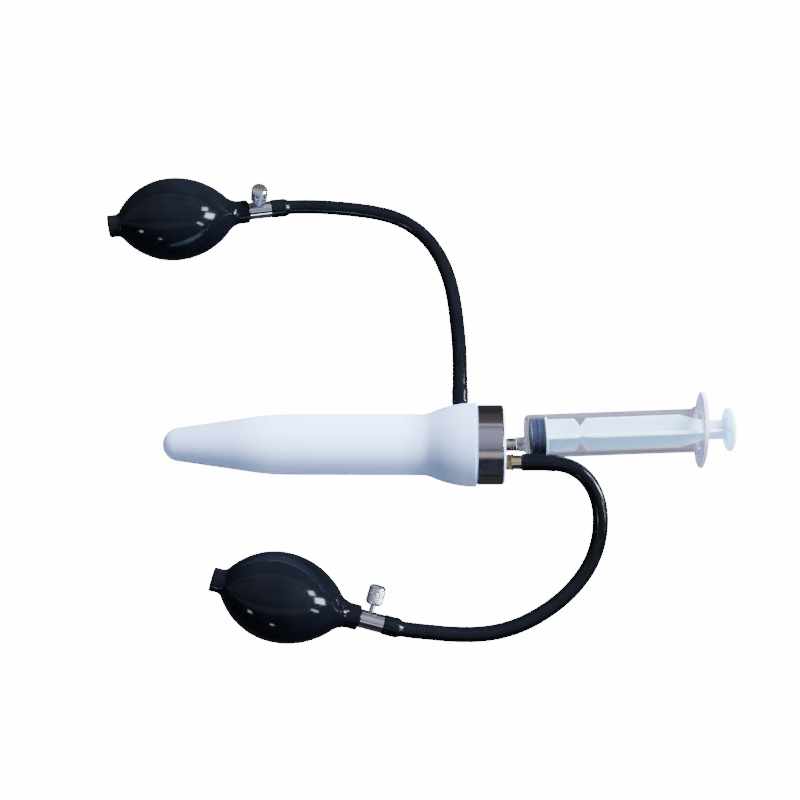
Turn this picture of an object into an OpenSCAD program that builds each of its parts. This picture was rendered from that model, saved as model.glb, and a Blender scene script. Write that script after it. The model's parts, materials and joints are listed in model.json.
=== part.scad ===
// Insemination instrument: a soft white probe with a clamped head, a syringe in its rear socket,
// and two rubber squeeze bulbs with release valves, joined to the head by black hoses.
// It lies on a table: +X runs from the probe's tip to the syringe's thumb rest, and +Z is up.

/* [Sheath] */
// Length of the sheath, from its tip to the end of its bell
sheath_len = 183.5; // [175:0.5:195]
// Diameter of the sheath's straight body
body_d = 35.4; // [34:0.2:37]
// Thickness of the sheath's wall
sheath_wall = 3; // [2.4:0.1:3.4]
// Radius of the rounded tip
nose_r = 10; // [9:0.5:11]
// Angle of the long taper behind the tip, in degrees
taper_angle = 8; // [7:0.5:9]
// Radius that blends the taper into the body
blend_r = 150; // [100:10:180]
// Diameter of the bell at the sheath's rear
flare_d = 48.4; // [47.6:0.2:50]
// Length of the bell
flare_len = 32; // [30:1:34]
// Radius of the hollow curve where the bell leaves the body
flare_foot_r = 16; // [12:1:20]
// Radius of the bell's rounded lip
lip_r = 1.2; // [0.8:0.1:1.4]
// Length of the skirt that the ring clamps
skirt_len = 12; // [9:0.5:14]
// Thickness of the skirt that the ring clamps
skirt_t = 1.9; // [1.6:0.1:2]

/* [Head] */
// Outer diameter of the steel clamp ring
ring_d = 46; // [45.6:0.2:46.4]
// Length of the steel clamp ring
ring_len = 15; // [14.5:0.5:17]
// Diameter of the plug inside the clamp ring
plug_d = 38; // [37.4:0.2:38.2]
// Length of the plug in front of the bell's end
plug_reach = 27.5; // [26:0.5:29]
// Length of the plug's tapered front
plug_nose_len = 10; // [8:0.5:11]
// Diameter of the plug's front face
plug_front_d = 28.4; // [28:0.2:29]
// Diameter of the plug's rim behind the ring
rim_d = 44.8; // [43.6:0.2:45]
// Thickness of the plug's rim behind the ring
rim_t = 0.8; // [0.6:0.1:1.2]
// Diameter of the air space inside the plug
plenum_d = 16; // [14:0.5:17]
// Thickness of the plug between the air space and the grommet
plenum_wall = 6; // [4:0.5:8]
// Diameter of the rubber grommet in the plug's rear
grommet_d = 13; // [12:0.5:13]
// Length of the rubber grommet
grommet_len = 15; // [13:0.5:16]
// Edge break on the ring's corners
ring_chamfer = 0.6; // [0.4:0.1:0.8]

/* [Core] */
// Outer diameter of the stiff core tube
core_d = 22; // [20:0.5:22]
// Wall of the core tube
core_wall = 2; // [1.5:0.1:2.5]
// Distance from the tip to the core tube's closed front
core_front = 14; // [12:0.5:18]
// Air gap between the core tube's cone and the sheath
core_gap = 1; // [0.6:0.1:1.2]
// How far the core tube goes into the plug
core_seat = 8; // [6:0.5:9]
// Diameter of the front chamber's air holes
air_hole_d = 2.4; // [1.6:0.2:3]
// Distance from the tip to the front chamber's air holes
air_hole_at = 44; // [38:1:60]
// Number of the front chamber's air holes
air_holes = 4; // [2:1:6]
// Distance from the tip to the rubber ring between the two chambers
divider_at = 84; // [80:1:120]
// Width of the rubber ring between the two chambers
divider_w = 7; // [5:0.5:9]

/* [Delivery line] */
// Outer diameter of the delivery tube
tube_d = 4; // [3.6:0.1:4.2]
// Bore of the delivery tube
tube_bore = 2.6; // [2:0.1:2.8]
// Outer diameter of the outlet in the tip
outlet_d = 7; // [6.6:0.1:7.6]
// Bore of the outlet in the tip
outlet_bore = 3; // [2.6:0.1:3.2]
// How deep the delivery tube goes into the outlet
outlet_socket = 8; // [6:0.5:9]
// Diameter of the outlet's collar inside the core tube
outlet_collar_d = 10; // [9:0.2:10.6]

/* [Hose fittings on the head] */
// Distance of the rear fitting from the probe's axis, across the table
rear_fit_y = 12; // [11.5:0.1:12.4]
// Height of the rear fitting over the probe's axis
rear_fit_z = 9.9; // [9.7:0.1:10.2]
// Width across the flats of the rear fitting's hexagon
hex_flats = 8; // [7.4:0.1:8.4]
// Thickness of the rear fitting's hexagon
hex_t = 2.6; // [2.2:0.1:3]
// Diameter of the collar behind the hexagon
fit_collar_d = 9.4; // [9:0.1:10]
// Thickness of the collar behind the hexagon
fit_collar_t = 1.2; // [0.8:0.1:1.6]
// Diameter of the rear fitting's shank
shank_d = 8; // [7.4:0.1:8.4]
// Length of the rear fitting's shank
shank_len = 4.4; // [4:0.1:5]
// Diameter of the screwed end of both fittings
thread_d = 5; // [4.6:0.1:5.2]
// Length of the rear fitting's screwed end
thread_len = 9; // [7:0.5:11]
// Air bore of both fittings
fit_bore = 2; // [1.6:0.1:2.4]
// Thickness of the sealing washers
washer_t = 0.8; // [0.6:0.1:1]
// Distance of the side fitting from the bell's end
side_fit_back = 9.5; // [9:0.5:12]
// Diameter of the side fitting's body in the bell
side_body_d = 7; // [6.6:0.1:7.6]
// Length of the side fitting's screwed end
side_thread_len = 5; // [4:0.5:6]
// How far the side fitting stands out of the bell
side_proud = 0.2; // [0.1:0.1:0.6]

/* [Syringe] */
// Angle that the syringe leans in its soft socket, in degrees
syringe_lean = 2.2; // [2:0.1:3]
// Outer diameter of the barrel
barrel_d = 25; // [24.6:0.1:25.2]
// Wall of the barrel
barrel_wall = 1.2; // [1:0.1:1.4]
// Length of the barrel from its shoulder to its flange
barrel_len = 98.7; // [95:0.5:106]
// Thickness of the barrel's front wall
barrel_end_t = 1.6; // [1.2:0.1:2]
// Distance between the axes of the barrel and its nozzle
nozzle_offset = 4.7; // [4.5:0.1:5.2]
// Turn of the finger flange about the barrel, in degrees
flange_roll = 36; // [30:1:40]
// Width of the finger flange, tip to tip
flange_w = 44.5; // [42:0.5:46]
// Width of the finger flange across its sides
flange_side_w = 27.6; // [27.4:0.2:29]
// Radius of the finger flange's curved sides
flange_side_r = 30; // [28:1:36]
// Thickness of the finger flange
flange_t = 2; // [1.6:0.1:2.4]
// Diameter of the nozzle's base
nozzle_base_d = 8.4; // [7.6:0.1:8.6]
// Length of the nozzle's base in front of the barrel's shoulder
nozzle_base_len = 4.2; // [4:0.1:5]
// Diameter of the nozzle's cone at its base
luer_d = 4.3; // [4.2:0.05:4.4]
// Length of the nozzle's cone
luer_len = 10; // [8:0.5:11]
// Bore of the nozzle
nozzle_bore = 2; // [1.6:0.1:2.4]
// Length of the steel socket bush outside the plug
bush_out = 7.6; // [6.8:0.1:8]
// Length of the steel socket bush inside the grommet
bush_in = 10; // [8:0.5:10]
// Diameter of the steel socket bush
bush_d = 7.4; // [7:0.1:7.6]
// Height of the rolled lip on the bush
bush_lip = 0.5; // [0.3:0.1:0.7]
// Length of the rubber seal on the plunger
seal_len = 8.3; // [8:0.1:9.5]
// Gap between the seal and the barrel's front wall when pushed home
seal_gap = 1.4; // [0.8:0.1:1.8]
// Width of the plunger rod's ribs
rib_w = 18.6; // [17:0.2:19]
// Thickness of the plunger rod's ribs
rib_t = 1.6; // [1.4:0.1:2]
// Width of the plunger rod at its waist behind the flange
waist_w = 11; // [10:0.5:13]
// Depth of the notches near the seal
notch_depth = 4.7; // [4:0.1:5.2]
// How far the thumb rest stands behind the flange
thumb_stand = 13.5; // [12:0.5:15]
// Diameter of the thumb rest
thumb_d = 25; // [23:0.5:26]
// Thickness of the thumb rest
thumb_t = 2; // [1.6:0.1:2.4]

/* [Bulbs] */
// Greatest diameter of a bulb
bulb_d = 49.6; // [48:0.4:51]
// Radius of the bulb's outline between its middle and its neck
front_curve_r = 44.5; // [42:0.5:47]
// Radius of the bulb's outline between its middle and its tail
back_curve_r = 38.5; // [36:0.5:40]
// Radius of the hollow curve where the bulb flows into its neck
neck_fillet_r = 11; // [8:0.5:12]
// Radius of the hollow curve where the bulb flows into its tail
tail_fillet_r = 4; // [3:0.5:6]
// Radius of the curves inside the bulb, at its neck and tail
inner_fillet_r = 4; // [3:0.5:5]
// Wall of a bulb
bulb_wall = 2.6; // [2.2:0.1:3]
// Diameter of the bulb's neck
neck_d = 14.2; // [13.4:0.1:14.6]
// Diameter of the bulb's tail
tail_d = 13.2; // [12.6:0.1:14]
// Distance from the bulb's middle to the end of its neck
neck_reach = 45.6; // [45:0.2:48]
// Distance from the bulb's middle to the end of its tail
tail_reach = 39.2; // [38.4:0.2:41]
// Depth of the intake valve in the bulb's tail
intake_recess = 0.8; // [0.4:0.1:1.2]
// Angle that the neck dips, in degrees
bulb_dip = 14; // [12:0.5:15]

/* [Valves] */
// Diameter of a release valve
valve_d = 10.4; // [10:0.1:10.8]
// Length of a release valve between the bulb and the hose
valve_len = 14.5; // [14:0.1:15.5]
// Diameter of the parts that plug into the bulb's neck and tail
spigot_d = 8.4; // [8:0.1:8.6]
// Length of the parts that plug into the bulb's neck and tail
spigot_len = 10; // [9:0.5:11]
// Bore through a release valve
valve_bore = 1.6; // [1.4:0.1:1.8]
// Diameter of the check balls
ball_d = 3.2; // [3.1:0.05:3.3]
// Travel of the check balls
ball_travel = 1.2; // [1:0.1:1.3]
// Diameter of the space that holds a check ball
cage_d = 3.8; // [3.7:0.1:4]
// Diameter of the hole that a check ball closes
seat_d = 2.2; // [2:0.1:2.4]
// Distance of the release screw from the bulb's neck
screw_at = 6.2; // [5.8:0.1:8]
// Diameter of the release screw
screw_d = 3.2; // [3:0.1:3.4]
// Diameter of the vent that the release screw closes
vent_d = 1.6; // [1.4:0.1:1.8]
// Length of the release screw's point
point_len = 1.6; // [1.2:0.1:1.8]
// Width of the slots that let air past an open check ball
slot_w = 0.8; // [0.6:0.1:1]
// Diameter of the knob's grip
knob_d = 10.2; // [9.6:0.1:10.6]
// Height of the knob
knob_h = 11.4; // [10.5:0.1:12]
// Gap between the valve and the knob when closed
knob_gap = 3.8; // [3.4:0.1:4.2]
// Number of flutes round the knob
flutes = 30; // [24:2:36]
// Depth of the flutes round the knob
flute_depth = 0.25; // [0.2:0.05:0.3]
// Tilt of the upper knob above the table, in degrees
top_knob_tilt = 76; // [60:1:85]
// Tilt of the lower knob above the table, in degrees
bottom_knob_tilt = 8; // [5:1:20]

/* [Hoses] */
// Outer diameter of a hose
hose_d = 8.8; // [8.4:0.1:9]
// Bore of a hose
hose_bore = 4.4; // [4:0.1:4.6]
// Diameter of the stretched end on the rear and side fittings
fit_cuff_d = 9.8; // [9.6:0.1:9.9]
// Diameter of the stretched end on the valves
valve_cuff_d = 11.4; // [11:0.1:11.8]
// Diameter of the barbs that a hose is pushed over
barb_d = 5.2; // [5:0.1:5.4]
// Length of the stretched end on the rear fitting
rear_cuff_len = 12; // [10:0.5:12]
// Length of the stretched end on the side fitting
side_cuff_len = 7; // [6:0.5:8]
// Length of the stretched end on the valves
valve_cuff_len = 8; // [7:0.5:9]
// Length over which a stretched end narrows to the hose
cuff_taper = 3; // [2:0.5:4]

/* [Layout on the table] */
// Place of the probe's tip, left of the middle
tip_left = 144.1; // [140:0.1:150]
// Place of the probe's axis, in front of the middle
probe_front = 25; // [20:1:30]
// Place of the upper bulb, left of the middle
top_bulb_left = 144.4; // [140:0.1:148]
// Place of the upper bulb, behind the middle
top_bulb_back = 112.3; // [110:0.1:115]
// Turn of the upper bulb on the table, in degrees
top_bulb_turn = 14.3; // [12:0.1:16]
// Place of the lower bulb, left of the middle
bottom_bulb_left = 70.3; // [67:0.1:74]
// Place of the lower bulb, in front of the middle
bottom_bulb_front = 112.7; // [110:0.1:115]
// Turn of the lower bulb on the table, in degrees
bottom_bulb_turn = 13.5; // [11:0.1:16]

/* [Fits] */
// Clearance between pieces that are pressed or glued together
snug = 0.05; // [0.02:0.01:0.06]
// Radial clearance of pieces that slide or turn in each other
running = 0.06; // [0.04:0.01:0.09]

/* [Hidden] */
$fn = 72;

// Colours
silicone_white = [0.87, 0.9, 0.97];
plug_white = [0.93, 0.93, 0.95];
nylon = [0.82, 0.84, 0.8];
steel = [0.62, 0.62, 0.66];
chrome = [0.75, 0.76, 0.8];
brass = [0.66, 0.57, 0.4];
black_rubber = [0.07, 0.08, 0.11];
grey_rubber = [0.25, 0.27, 0.3];
clear_plastic = [0.8, 0.8, 0.88, 0.35];
rod_white = [0.85, 0.9, 0.98];
seal_slate = [0.18, 0.24, 0.34];

// Radii of the main round pieces
body_r = body_d / 2;
flare_r = flare_d / 2;
plug_r = plug_d / 2;
core_r = core_d / 2;
barrel_r = barrel_d / 2;
barrel_bore_r = barrel_r - barrel_wall;
bulb_r = bulb_d / 2;
neck_r = neck_d / 2;
tail_r = tail_d / 2;
valve_r = valve_d / 2;
spigot_r = spigot_d / 2;
hose_r = hose_d / 2;

// The sheath's outline: the taper meets the nose, the blend meets the taper and the body
taper_start = nose_r * (1 - sin(taper_angle));
taper_start_r = nose_r * cos(taper_angle);
taper_corner = taper_start + (body_r - taper_start_r) / tan(taper_angle);
blend_end = taper_corner + blend_r * tan(taper_angle / 2);
flare_start = sheath_len - flare_len;
flare_end = sheath_len - lip_r;
flare_rise = flare_r - body_r;
flare_run = flare_end - flare_start;
flare_slope = 2 * atan(flare_rise / flare_run);
flare_crown_r = flare_run / sin(flare_slope) - flare_foot_r;

// The probe lies on its blend and on its bell's lip, so these two set its tilt and its height
rest_run = flare_end - blend_end;
rest_rise = flare_r - lip_r - body_r + blend_r;
tilt = atan(rest_rise / rest_run) - asin((blend_r - lip_r) / norm([rest_run, rest_rise]));
tip_h = lip_r + (flare_r - lip_r) * cos(tilt) - flare_end * sin(tilt);

// Stations along the probe's axis, from the tip
plug_front = sheath_len - plug_reach;
plug_rear = sheath_len + ring_len + rim_t;
grommet_front = plug_rear - grommet_len;
core_rear = plug_front + core_seat;
plenum_end = grommet_front - plenum_wall;
side_fit_at = sheath_len - side_fit_back;
outlet_hole_r = outlet_d / 2 + snug;
outlet_front = nose_r - sqrt(nose_r * nose_r - outlet_hole_r * outlet_hole_r);
core_front_t = 3;
outlet_collar_t = 1.6;
outlet_rear = core_front + core_front_t + snug + outlet_collar_t;
tube_front = outlet_rear - outlet_socket;
tube_rear = grommet_front + (grommet_len - bush_in) - 1;
ring_bore_r = plug_r + snug + skirt_t + snug;

// Stations along the syringe's axis, from the plug's rear face
nozzle_front = bush_out + 0.2;
shoulder = nozzle_front + nozzle_base_len;
barrel_inside = shoulder + barrel_end_t;
flange_front = shoulder + barrel_len;
flange_rear = flange_front + flange_t;
seal_front = barrel_inside + seal_gap;
seal_rear = seal_front + seal_len;
rod_disc_t = 1.2;
rod_front = seal_rear + rod_disc_t;
thumb_front = flange_rear + thumb_stand;
thumb_rear = thumb_front + thumb_t;
luer_slope = 0.03;
seal_r = barrel_bore_r - running;

// Stations along a bulb's axis, from its middle, and its height on the table
bulb_h = front_curve_r - (front_curve_r - bulb_r) * cos(bulb_dip);
spigot_bore_r = spigot_r + snug;
cage_r = cage_d / 2;
ball_r = ball_d / 2;
ball_stand = sqrt(ball_r * ball_r - seat_d * seat_d / 4) + snug;
ball_open = ball_stand + ball_travel;
cage_len = ball_open + ball_stand;
seat_t = 1.5;
intake_face = intake_recess - tail_reach;
valve_inlet = -spigot_len + seat_t;
knob_base = valve_r + knob_gap;
screw_seat = valve_bore / 2 + 1;
nipple_len = valve_cuff_len;

// Centre line of each hose between its straight ends, lying down onto the table
top_route = [
    [29.6, 20, 22.8], [29.5, 32, 20.3], [28.9, 44, 16.6], [28.1, 56, 12.6], [26.9, 68, 8.9],
    [24.9, 80, 6.3], [21.4, 91.5, 4.9], [16.4, 102, 4.5], [9.4, 111.5, 4.5], [-0.1, 119.5, 4.5],
    [-11.1, 125, 4.5], [-23.1, 128, 4.5], [-36.1, 129.8, 4.5], [-48.1, 130.8, 4.6], [-61.1, 130.9, 5.8]
];
bottom_route = [
    [86.5, -37.9, 36.5], [94.1, -40.5, 35.2], [100.9, -45.6, 32.6], [106.1, -53.2, 28.8],
    [109.1, -62.6, 23.8], [109.7, -73, 18.4], [107.8, -84, 13.2], [103.2, -94.4, 9.1],
    [96.2, -103.8, 6.3], [86.9, -112.5, 4.9], [75.9, -120, 4.5], [63.9, -126, 4.5],
    [50.9, -129.8, 4.5], [37.9, -131.3, 4.5], [24.9, -131.2, 4.8], [12.9, -130.3, 5.8]
];
hose_sides = 10;

// Places of the two bulbs: x, y, turn on the table, tilt of the knob
top_place = [-top_bulb_left, top_bulb_back, top_bulb_turn, top_knob_tilt];
bottom_place = [-bottom_bulb_left, -bottom_bulb_front, -bottom_bulb_turn, bottom_knob_tilt];

// Points of an arc, from angle a to angle b, as [distance from the axis, station along it]
function arc(centre, r, a, b, steps) =
    [for (i = [0:steps]) centre + r * [cos(a + (b - a) * i / steps), sin(a + (b - a) * i / steps)]];

function unit(v) = v / norm(v);

// Radius of the taper at a station, measured a given thickness inside the sheath's face
function taper_r(at, depth) =
    taper_start_r + (at - taper_start) * tan(taper_angle) - depth / cos(taper_angle);

// Station where the inside of the taper reaches a radius
function taper_at(r, depth) =
    taper_start + (r + depth / cos(taper_angle) - taper_start_r) / tan(taper_angle);

// A point of the probe, given along its axis, across the table and up from its axis
function probe_point(p) = [
    -tip_left + p.x * cos(tilt) - p.z * sin(tilt),
    -probe_front + p.y,
    tip_h + p.x * sin(tilt) + p.z * cos(tilt)
];

// Direction of a bulb's axis towards its valve, and a point along that axis
function bulb_axis(place) =
    [cos(place[2]) * cos(bulb_dip), sin(place[2]) * cos(bulb_dip), -sin(bulb_dip)];
function bulb_point(place, at) = [place[0], place[1], bulb_h] + at * bulb_axis(place);

// Half of a bulb's outline: one arc from its middle, then a hollow curve into the neck or tail
function bulb_half(r, curve, fillet, end_r) =
    let (
        fillet_centre = end_r + fillet,
        swing = acos((fillet_centre - r + curve) / (curve + fillet)),
        run = (curve + fillet) * sin(swing)
    )
    concat(
        arc([r - curve, 0], curve, 0, swing, 16),
        [for (i = [1:8]) let (a = swing * (1 - i / 8))
            [fillet_centre - fillet * cos(a), run - fillet * sin(a)]]
    );

function backwards(list) = [for (i = [len(list) - 1:-1:0]) list[i]];
function other_way(list) = [for (i = [len(list) - 1:-1:1]) [list[i].x, -list[i].y]];

module turned(points) {
    rotate([0, 90, 0])
        rotate_extrude()
            polygon(points);
}

module disc(r, from, to) {
    translate([from, 0, 0])
        rotate([0, 90, 0])
            cylinder(r = r, h = to - from);
}

module on_probe() {
    translate([-tip_left, -probe_front, tip_h])
        rotate([0, -tilt, 0])
            children();
}

module on_syringe() {
    on_probe()
        translate([plug_rear, 0, 0])
            rotate([0, 0, syringe_lean])
                children();
}

module on_barrel() {
    on_syringe()
        rotate([flange_roll, 0, 0])
            translate([0, nozzle_offset, 0])
                children();
}

module on_bulb(place) {
    translate([place[0], place[1], bulb_h])
        rotate([0, 0, place[2]])
            rotate([0, bulb_dip, 0])
                children();
}

module on_valve(place) {
    on_bulb(place)
        translate([neck_reach, 0, 0])
            children();
}

module on_screw(place) {
    on_valve(place)
        translate([screw_at, 0, 0])
            rotate([place[3] - 90, 0, 0])
                children();
}

// Barbed end that a hose is pushed over, pointing along +X from a station
module barbs(from, length, bore) {
    tooth = length / 3;
    difference() {
        turned(concat(
            [[0, from - 0.5]],
            [[barb_d / 2 - 0.5, from - 0.5]],
            [for (i = [0:2]) each [
                [barb_d / 2 - 0.5, from + i * tooth + 0.3],
                [barb_d / 2, from + i * tooth + 0.6],
                [barb_d / 2 - 0.5, from + (i + 1) * tooth - 0.2]
            ]],
            [[0, from + length - 0.2]]
        ));
        disc(bore / 2, from - 1, from + length + 1);
    }
}

module sheath() {
    taper_inside = taper_r(core_front, sheath_wall);
    color(silicone_white)
        on_probe()
            difference() {
                turned(concat(
                    [[outlet_hole_r, outlet_front]],
                    [for (p = arc([0, -nose_r], nose_r, acos(outlet_hole_r / nose_r),
                        taper_angle, 12)) [p.x, -p.y]],
                    [for (p = arc([body_r - blend_r, -blend_end], blend_r, taper_angle, 0, 8))
                        [p.x, -p.y]],
                    arc([body_r + flare_foot_r, flare_start], flare_foot_r, 180,
                        180 - flare_slope, 6),
                    [for (p = arc([flare_r - flare_crown_r, -flare_end], flare_crown_r,
                        flare_slope, 0, 10)) [p.x, -p.y]],
                    arc([flare_r - lip_r, flare_end], lip_r, 0, 90, 6),
                    [[plug_r + snug + skirt_t, sheath_len]],
                    [[plug_r + snug + skirt_t, sheath_len + skirt_len]],
                    [[plug_r + snug, sheath_len + skirt_len]],
                    [[plug_r + snug, plug_front + plug_nose_len]],
                    [[body_r - sheath_wall, plug_front]],
                    [for (p = arc([body_r - blend_r, -blend_end], blend_r - sheath_wall, 0,
                        taper_angle, 8)) [p.x, -p.y]],
                    [[taper_inside, core_front]],
                    [[outlet_hole_r, core_front]]
                ));
                translate([side_fit_at, 0, 0])
                    rotate([-90, 0, 0])
                        cylinder(d = side_body_d + 2 * snug, h = flare_d);
            }
}

module core_tube() {
    front = core_front + snug;
    depth = sheath_wall + core_gap;
    knee = taper_at(core_r, depth);
    inside = front + core_front_t;
    color(nylon)
        on_probe()
            difference() {
                turned([
                    [outlet_hole_r, front],
                    [taper_r(front, depth), front],
                    [core_r, knee],
                    [core_r, core_rear],
                    [core_r - core_wall, core_rear],
                    [core_r - core_wall, knee],
                    [taper_r(inside, depth) - core_wall, inside],
                    [outlet_hole_r, inside]
                ]);
                for (i = [0:air_holes - 1])
                    rotate([i * 360 / air_holes, 0, 0])
                        translate([air_hole_at, 0, 0])
                            cylinder(d = air_hole_d, h = core_d);
            }
}

module chamber_divider() {
    outer = body_r - sheath_wall - snug;
    groove = outer - 0.8;
    rear = divider_at + divider_w;
    rib = divider_w / 3;
    color(grey_rubber)
        on_probe()
            turned([
                [core_r + snug, divider_at],
                [outer, divider_at],
                [outer, divider_at + rib],
                [groove, divider_at + rib + 0.5],
                [groove, rear - rib - 0.5],
                [outer, rear - rib],
                [outer, rear],
                [core_r + snug, rear]
            ]);
}

module delivery_tube() {
    color(nylon)
        on_probe()
            difference() {
                disc(tube_d / 2, tube_front, tube_rear);
                disc(tube_bore / 2, tube_front - 1, tube_rear + 1);
            }
}

module tip_outlet() {
    collar_front = core_front + core_front_t + 2 * snug;
    color(plug_white)
        on_probe()
            turned([
                [outlet_bore / 2, outlet_front],
                [outlet_d / 2 - 0.4, outlet_front],
                [outlet_d / 2, outlet_front + 0.4],
                [outlet_d / 2, collar_front],
                [outlet_collar_d / 2, collar_front],
                [outlet_collar_d / 2, outlet_rear + snug],
                [tube_d / 2 + snug, outlet_rear + snug],
                [tube_d / 2 + snug, tube_front - snug],
                [outlet_bore / 2, tube_front - snug]
            ]);
}

module head_plug() {
    air_way_r = fit_bore / 2;
    side_air_r = (core_r + body_r - sheath_wall) / 2;
    side_seat = plug_r - washer_t - 1.2;
    color(plug_white)
        on_probe()
            difference() {
                turned([
                    [0, plug_front],
                    [plug_front_d / 2, plug_front],
                    [plug_r, plug_front + plug_nose_len],
                    [plug_r, plug_rear - rim_t],
                    [rim_d / 2, plug_rear - rim_t],
                    [rim_d / 2, plug_rear - rim_t / 2],
                    [rim_d / 2 - rim_t / 2, plug_rear],
                    [0, plug_rear]
                ]);
                disc(core_r + snug, plug_front - 1, core_rear + snug);
                disc(plenum_d / 2, plug_front - 1, plenum_end);
                disc(tube_d / 2 + snug, plenum_end - 1, plug_rear);
                disc(grommet_d / 2 + snug, grommet_front, plug_rear + 1);
                // Rear fitting: screw hole, and a drilled way into the air space
                translate([0, -rear_fit_y, rear_fit_z]) {
                    disc(thread_d / 2 + snug, plug_rear - thread_len - 1, plug_rear + 1);
                    disc(air_way_r, plenum_end - 4.5, plug_rear);
                }
                translate([plenum_end - 3, 0, 0])
                    rotate([atan2(rear_fit_z, -rear_fit_y) - 90, 0, 0])
                        cylinder(r = air_way_r * 0.8, h = norm([rear_fit_y, rear_fit_z]));
                // Side fitting: screw hole, and a drilled way into the space round the core
                translate([side_fit_at, 0, 0])
                    rotate([-90, 0, 0]) {
                        translate([0, 0, side_seat - side_thread_len - 0.5])
                            cylinder(d = thread_d + 2 * snug, h = plug_r);
                        translate([0, 0, side_seat])
                            cylinder(d = side_body_d + 2 * snug, h = plug_r);
                    }
                translate([plug_front - 1, side_air_r, 0])
                    rotate([0, 90, 0])
                        cylinder(r = air_way_r, h = side_fit_at - plug_front + 1);
            }
}

module clamp_ring() {
    front = sheath_len + snug;
    rear = plug_rear - rim_t - snug;
    outer = ring_d / 2;
    color(steel)
        on_probe()
            turned([
                [ring_bore_r, front],
                [outer - ring_chamfer, front],
                [outer, front + ring_chamfer],
                [outer, rear - ring_chamfer],
                [outer - ring_chamfer, rear],
                [plug_r + snug, rear],
                [plug_r + snug, sheath_len + skirt_len + snug],
                [ring_bore_r, sheath_len + skirt_len + snug]
            ]);
}

module socket_grommet() {
    color(grey_rubber)
        difference() {
            on_probe()
                difference() {
                    disc(grommet_d / 2, grommet_front + snug, plug_rear);
                    disc(tube_d / 2 + snug, grommet_front - 1, plug_rear - 1);
                }
            on_syringe()
                disc(bush_d / 2 + snug, -bush_in - snug, 1);
        }
}

module socket_bush() {
    lip = bush_out - bush_lip;
    color(steel)
        on_syringe()
            difference() {
                turned(concat(
                    [[nozzle_bore / 2 + 0.3, -bush_in]],
                    [[bush_d / 2, -bush_in]],
                    [[bush_d / 2, lip - bush_lip]],
                    arc([bush_d / 2, lip], bush_lip, -90, 90, 8),
                    [[nozzle_bore / 2 + 0.3, bush_out]]
                ));
                turned([
                    [0, nozzle_front - luer_len - 0.5],
                    [luer_d / 2 + running - luer_slope * (luer_len + 0.5),
                        nozzle_front - luer_len - 0.5],
                    [luer_d / 2 + running, nozzle_front],
                    [luer_d / 2 + running, nozzle_front + 1],
                    [0, nozzle_front + 1]
                ]);
            }
}

module rear_fitting() {
    hex_front = washer_t + snug;
    hex_rear = hex_front + hex_t;
    collar_rear = hex_rear + fit_collar_t;
    shank_rear = collar_rear + shank_len;
    corner_d = hex_flats / cos(30);
    color(brass)
        on_probe()
            translate([plug_rear, -rear_fit_y, rear_fit_z]) {
                difference() {
                    union() {
                        disc(thread_d / 2, -thread_len, hex_front + 1);
                        intersection() {
                            translate([hex_front, 0, 0])
                                rotate([0, 90, 0])
                                    cylinder(d = corner_d, h = hex_t, $fn = 6);
                            turned([
                                [0, hex_front],
                                [hex_flats / 2, hex_front],
                                [corner_d / 2, hex_front + 0.4],
                                [corner_d / 2, hex_rear],
                                [0, hex_rear]
                            ]);
                        }
                        disc(fit_collar_d / 2, hex_rear, collar_rear);
                        turned([
                            [0, collar_rear],
                            [shank_d / 2, collar_rear],
                            [shank_d / 2, shank_rear - 0.3],
                            [shank_d / 2 - 0.3, shank_rear],
                            [0, shank_rear]
                        ]);
                    }
                    disc(fit_bore / 2, -thread_len - 1, shank_rear + 1);
                }
                barbs(shank_rear, rear_cuff_len, fit_bore);
            }
}

module rear_washer() {
    color(grey_rubber)
        on_probe()
            translate([plug_rear, -rear_fit_y, rear_fit_z])
                difference() {
                    disc(hex_flats / 2 + 0.4, snug, washer_t);
                    disc(thread_d / 2 + snug, -1, washer_t + 1);
                }
}

module side_fitting() {
    seat = plug_r - washer_t - 1.2;
    base = seat + washer_t + snug;
    proud = flare_r + side_proud;
    color(brass)
        on_probe()
            translate([side_fit_at, 0, 0])
                rotate([0, 0, 90])
                    union() {
                        difference() {
                            union() {
                                disc(thread_d / 2, seat - side_thread_len, base + 1);
                                disc(side_body_d / 2, base, proud);
                            }
                            disc(fit_bore / 2, 0, proud + 1);
                        }
                        barbs(proud, side_cuff_len, fit_bore);
                    }
}

module side_washer() {
    seat = plug_r - washer_t - 1.2;
    color(grey_rubber)
        on_probe()
            translate([side_fit_at, 0, 0])
                rotate([0, 0, 90])
                    difference() {
                        disc(side_body_d / 2, seat + snug, seat + washer_t);
                        disc(thread_d / 2 + snug, 0, plug_r);
                    }
}

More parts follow.
